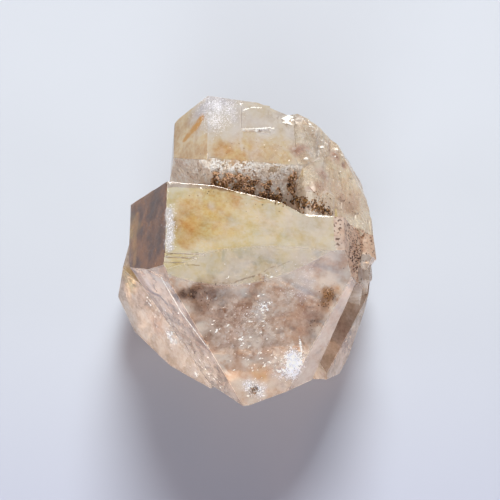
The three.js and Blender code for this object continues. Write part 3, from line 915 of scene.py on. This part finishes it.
def clumped(sites, coarse, fine, share, least):
    """Which sites to keep so that they lie in clumps: where a coarse and a fine noise add up to enough."""
    return np.array([
        noise.noise(Vector(p) / (coarse * MM)) + share * noise.noise(Vector(p) / (fine * MM)) > least
        for p in sites
    ])


LEDGE_SCALES = 12000


def ledge_frost():
    """Fine pale scales that whiten the stepped ledge behind the crystal in front."""
    points, triangles = triangles_of("quartz_crystal")
    normals, _ = normals_of(points, triangles)
    corners = points[triangles]
    middles = local(corners.mean(axis=1))
    ledge = np.array([zone_of(Vector(n), m) == "ledge" for n, m in zip(normals, middles)])
    sites, picked = scattered(corners[ledge], LEDGE_SCALES)
    kept = clumped(sites, coarse=1.3, fine=0.4, share=0.7, least=-0.36)
    outward = normals[ledge][picked]
    sites = (sites + outward * LIFT * MM)[kept]
    ways = unit(outward[kept] + 0.15 * rng.normal(size=sites.shape))
    cream = flake_material("frost", srgb(255, 252, 246), srgb(246, 232, 214), rough=0.8)
    flakes("ledge_frost", sites, ways, rng.uniform(0.06, 0.2, len(sites)), cream)


# ---- iron oxide ----

CRUST_GRAINS = 13000


def grains(name, sites, sizes, tones, replaced=()):
    """Lumpy grains, one at each site, joined in one mesh."""
    pattern = bmesh.new()
    bmesh.ops.create_icosphere(pattern, subdivisions=1, radius=1)
    ball = np.array([v.co for v in pattern.verts])
    faces = np.array([[v.index for v in f.verts] for f in pattern.faces])
    pattern.free()
    sites, sizes = np.array(sites), np.array(sizes)
    lumps = rng.uniform(0.65, 1.2, (len(sites), len(ball), 1)) * rng.uniform(0.6, 1.15, (len(sites), 1, 3))
    points = sites[:, None, :] + ball * lumps * sizes[:, None, None] * MM
    triangles = faces + len(ball) * np.arange(len(sites))[:, None, None]
    mesh = bpy.data.meshes.new(name)
    mesh.from_pydata(within_box(points).reshape(-1, 3).tolist(), [], triangles.reshape(-1, 3).tolist())
    mark(mesh, "tone", "POINT", np.repeat(tones, len(ball)))
    mesh.materials.append(oxide_material())
    add_piece(name, mesh, "iron_oxide", *replaced)


def crust_grains():
    """Grains all over the crust's solid, and in place of it."""
    points, triangles = triangles_of("iron_oxide_crust")
    sites, _ = scattered(points[triangles], CRUST_GRAINS)
    sites = sites[clumped(sites, coarse=1.1, fine=0.45, share=0.6, least=-0.02)]
    across, above, _ = local(sites).T  # they are paler to the right and higher up
    tones = 0.5 + 0.026 * (across + 2) + 0.12 * (above - 10) + 0.27 * rng.normal(size=len(sites))
    sizes = rng.uniform(0.05, 0.16, len(sites))
    grains("iron_oxide_grains", sites, sizes, tones, ("iron_oxide_crust",))


def specks():
    """Loose grains along the crest behind the front face, in pits, on the ledge and on the speckled side."""
    below, side, ledge = face_normal(79, 53), face_normal(22, 90), face_normal(74, 52)
    flank, wall = face_normal(45, 92), face_normal(120, 75)
    # Each patch has its centre, its radius, the way out of the crystal, a number, a largest size and a tone.
    patches = [
        ((6.8, 9, -2.8), 0.9, wall, 110, 0.17, 0.5),
        ((7.8, 10.4, -1.9), 0.9, wall, 120, 0.17, 0.55),
        ((9, 10.7, -1.4), 0.8, flank, 130, 0.16, 0.5),
        ((10.1, 9.8, -1.4), 0.9, flank, 130, 0.16, 0.45),
        ((11.1, 8.9, -1.4), 0.8, flank, 80, 0.14, 0.45),
        ((9.8, 10, -3), 1.8, flank, 60, 0.12, 0.6),
        ((1, 1, 21.3), 0.55, below, 80, 0.11, 0.45),
        ((10.8, 7.7, 10.1), 1.0, below, 110, 0.1, 0.5),
        ((10.4, 6.8, 11.4), 0.7, below, 26, 0.1, 0.4),
        ((8.6, 5.4, 13.4), 0.8, below, 14, 0.1, 0.3),
        ((-6, 10, 11.4), 2, below, 50, 0.1, 0.3),
        ((2.2, 10, 9.2), 0.5, below, 14, 0.1, 0.4),
        ((14.4, 7, 4), 3.6, side, 130, 0.12, 0.3),
        ((15.6, 5, 4), 2.6, side, 90, 0.12, 0.3),
        ((0, 11, -6), 6, ledge, 120, 0.08, 0.35),
        ((-6.5, 9.6, -6.5), 2.2, ledge, 36, 0.09, 0.3),
        ((13.6, 6.1, -5), 2.6, flank, 16, 0.12, 0.3),
    ]
    sites, sizes, tones = [], [], []
    for centre, radius, outward, count, largest, tone in patches:
        for _ in range(count):
            spread = Vector(rng.normal(size=3)) * radius * 0.5 * MM
            spread -= outward * spread.dot(outward)
            point, _ = under(place(*centre) + spread, outward, start=8, reach=20)
            if point is None:
                continue
            sites.append(point)
            sizes.append(rng.uniform(0.35, 1.0) * largest)
            tones.append(tone + 0.2 * rng.normal())
    grains("iron_oxide_specks", sites, sizes, tones)


# ---- the stage ----

def area_light(name, direction, distance, size, power, colour):
    data = bpy.data.lights.new(name, "AREA")
    data.shape = "DISK"
    data.size = size
    data.energy = power
    data.color = colour
    lamp = bpy.data.objects.new(name, data)
    lamp.location = Vector(direction).normalized() * distance
    lamp.rotation_euler = (-lamp.location).to_track_quat("-Z", "Y").to_euler()
    bpy.context.scene.collection.objects.link(lamp)


FLOOR_REACH = 4  # metres from the middle to each side


def floor():
    data = bpy.data.meshes.new("floor")
    r = FLOOR_REACH
    data.from_pydata([(-r, -r, 0), (r, -r, 0), (r, r, 0), (-r, r, 0)], [], [(0, 1, 2, 3)])
    plane = bpy.data.objects.new("floor", data)
    bpy.context.scene.collection.objects.link(plane)
    material, n = new_material("pale_floor")
    pale = n.mix(n.noise(30), srgb(202, 208, 219), srgb(197, 203, 214))
    # painted shade on the floor: darker and bluer towards the front, where the crystal's shadow falls
    painted_front_shade = n.ramp(n.depth(n.position()), 20, -80)  # slightly bluer towards the front
    n.link(n.mix(painted_front_shade, pale, srgb(176, 180, 206)), n.shader.inputs["Base Color"])
    n.shader.inputs["Roughness"].default_value = 0.9
    data.materials.append(material)


SKY_COLOUR, SKY_STRENGTH = (0.75, 0.8, 1.0, 1), 0.13
# Each lamp has its direction from the origin, its distance and size in metres, its power and its colour.
LAMPS = {
    "window": ((0.08, 0.74, 0.66), 1.6, 0.75, 35.5, (1.0, 0.97, 0.91)),
    "ceiling": ((-0.1, -0.66, 0.74), 1.5, 0.8, 4.4, (1.0, 0.98, 0.97)),
    "front": ((-0.12, -0.98, 0.08), 1.5, 0.6, 20, (0.98, 0.98, 0.98)),
    "left": ((-0.97, -0.2, 0.14), 1.5, 0.5, 5.5, (1.0, 0.98, 0.95)),
    "right": ((0.93, -0.3, 0.1), 1.5, 0.5, 5, (1.0, 0.98, 0.95)),
}


def studio():
    scene = bpy.context.scene
    world = bpy.data.worlds.new("studio")
    scene.world = world
    world.use_nodes = True
    background = world.node_tree.nodes["Background"]
    background.inputs["Color"].default_value = SKY_COLOUR
    background.inputs["Strength"].default_value = SKY_STRENGTH
    for name, lamp in LAMPS.items():
        area_light(name, *lamp)
    scene.view_settings.view_transform = "Standard"
    scene.cycles.caustics_refractive = False
    scene.cycles.caustics_reflective = False
    scene.cycles.max_bounces = 20
    scene.cycles.transmission_bounces = 16
    scene.cycles.transparent_max_bounces = 16
    scene.cycles.diffuse_bounces = 4
    scene.cycles.glossy_bounces = 6


CAMERA_ELEVATION = 64  # degrees above the floor, fitted to the photograph
CAMERA_DISTANCE = 213.9
CAMERA_LENS = 110
SENSOR_WIDTH = 36
CAMERA_AIM = (0.42, 0, 0)


def camera():
    data = bpy.data.cameras.new("camera")
    data.lens = CAMERA_LENS
    data.sensor_width = SENSOR_WIDTH
    data.clip_start = 0.01
    data.clip_end = 10
    view = bpy.data.objects.new("camera", data)
    tilt = math.radians(CAMERA_ELEVATION)
    back = Vector((0, -math.cos(tilt), math.sin(tilt)))
    view.location = place(*CAMERA_AIM) + back * CAMERA_DISTANCE * MM
    view.rotation_euler = (math.radians(90 - CAMERA_ELEVATION), 0, 0)
    bpy.context.scene.collection.objects.link(view)
    bpy.context.scene.camera = view


quartz_crystal()
# White scales as painted glints: in the cracks, and as flecks and facets on the surface.
painted_glint_scales = flake_material("veil", srgb(255, 254, 250), srgb(252, 248, 240), rough=0.4)
inner_stains(painted_glint_scales)
surface_chips(painted_glint_scales)
ledge_frost()
crust_grains()
specks()
floor()
studio()
camera()
